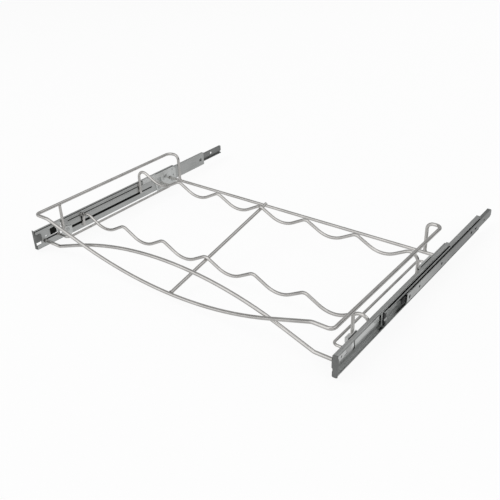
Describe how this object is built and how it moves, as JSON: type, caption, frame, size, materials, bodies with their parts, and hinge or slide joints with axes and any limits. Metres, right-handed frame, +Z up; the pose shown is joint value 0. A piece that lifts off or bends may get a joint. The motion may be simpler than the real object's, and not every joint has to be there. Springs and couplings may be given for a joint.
{
  "type": "pull-out wine rack",
  "caption": "Bent-wire wine bottle rack hung between two full-extension ball-bearing slides, with ball cages and release levers that move",
  "frame": {"origin": "middle of the footprint, on the plane the bracket feet stand on", "axes": "+X to the right of a person facing the rack, +Y towards the back of the cabinet, +Z up"},
  "size_m": [0.61, 0.5278, 0.0742],
  "materials": {
    "wire": "bright plated wire",
    "rack_steel": "zinc plated sheet",
    "middle_steel": "zinc plated sheet",
    "cabinet_steel": "zinc plated sheet",
    "plate_steel": "zinc plated sheet",
    "bracket_steel": "zinc plated sheet, welded",
    "cage_steel": "thin plated sheet",
    "ball_steel": "polished balls",
    "rivet_steel": "plated rivet",
    "lever_plastic": "black moulded plastic",
    "stop_plastic": "black moulded plastic"
  },
  "bodies": {
    "rack": {"top_rail": "wire", "front_arch_wire": "wire", "centre_wire": "wire", "front_wave_wire": "wire", "back_wave_wire": "wire", "back_cross_wire": "wire", "rack_member_right": "rack_steel", "rack_member_left": "rack_steel", "end_plate_right": "plate_steel", "end_plate_left": "plate_steel", "front_bracket_right": "bracket_steel", "front_bracket_left": "bracket_steel", "rear_bracket_right": "bracket_steel", "rear_bracket_left": "bracket_steel", "rear_boss_right": "bracket_steel", "rear_boss_left": "bracket_steel", "rear_upright_right": "wire", "rear_upright_left": "wire", "base_wire_right": "wire", "base_wire_left": "wire", "front_post_right": "wire", "front_post_left": "wire", "bracket_rivets": "rivet_steel"},
    "middle_right": {"middle_member_right": "middle_steel", "middle_stop_right": "stop_plastic", "stop_rivet_right": "rivet_steel"},
    "cabinet_right": {"cabinet_member_right": "cabinet_steel", "lever_pin_right": "rivet_steel"},
    "lever_right": {"release_lever_right": "lever_plastic"},
    "inner_cage_right": {"inner_cage_right": "cage_steel", "inner_balls_right": "ball_steel"},
    "outer_cage_right": {"outer_cage_right": "cage_steel", "outer_balls_right": "ball_steel"},
    "middle_left": {"middle_member_left": "middle_steel", "middle_stop_left": "stop_plastic", "stop_rivet_left": "rivet_steel"},
    "cabinet_left": {"cabinet_member_left": "cabinet_steel", "lever_pin_left": "rivet_steel"},
    "lever_left": {"release_lever_left": "lever_plastic"},
    "inner_cage_left": {"inner_cage_left": "cage_steel", "inner_balls_left": "ball_steel"},
    "outer_cage_left": {"outer_cage_left": "cage_steel", "outer_balls_left": "ball_steel"}
  },
  "joints": [
    {"name": "middle_slide_right", "type": "slide", "parent": "rack", "child": "middle_right", "axis": [0, 1, 0], "range_m": [-0.122, 0.053]},
    {"name": "cabinet_slide_right", "type": "slide", "parent": "middle_right", "child": "cabinet_right", "axis": [0, 1, 0], "range_m": [-0.0505, 0.1245]},
    {"name": "inner_cage_slide_right", "type": "slide", "parent": "rack", "child": "inner_cage_right", "axis": [0, 1, 0], "range_m": [-0.061, 0.0265]},
    {"name": "outer_cage_slide_right", "type": "slide", "parent": "middle_right", "child": "outer_cage_right", "axis": [0, 1, 0], "range_m": [-0.02525, 0.06225]},
    {"name": "lever_pivot_right", "type": "hinge", "parent": "cabinet_right", "child": "lever_right", "pos_m": [0.3021, -0.03815, 0.0215], "axis": [1, 0, 0], "range_deg": [-3, 3], "stiffness_Nm_per_rad": 0.02},
    {"name": "middle_slide_left", "type": "slide", "parent": "rack", "child": "middle_left", "axis": [0, 1, 0], "range_m": [-0.093, 0.082]},
    {"name": "cabinet_slide_left", "type": "slide", "parent": "middle_left", "child": "cabinet_left", "axis": [0, 1, 0], "range_m": [-0.067, 0.108]},
    {"name": "inner_cage_slide_left", "type": "slide", "parent": "rack", "child": "inner_cage_left", "axis": [0, 1, 0], "range_m": [-0.0465, 0.041]},
    {"name": "outer_cage_slide_left", "type": "slide", "parent": "middle_left", "child": "outer_cage_left", "axis": [0, 1, 0], "range_m": [-0.0335, 0.054]},
    {"name": "lever_pivot_left", "type": "hinge", "parent": "cabinet_left", "child": "lever_left", "pos_m": [-0.3021, -0.05065, 0.0215], "axis": [1, 0, 0], "range_deg": [-3, 3], "stiffness_Nm_per_rad": 0.02}
  ],
  "couplings": [
    {"joint": "inner_cage_slide_right", "follows": "middle_slide_right", "ratio": 0.5},
    {"joint": "outer_cage_slide_right", "follows": "cabinet_slide_right", "ratio": 0.5},
    {"joint": "inner_cage_slide_left", "follows": "middle_slide_left", "ratio": 0.5},
    {"joint": "outer_cage_slide_left", "follows": "cabinet_slide_left", "ratio": 0.5}
  ]
}
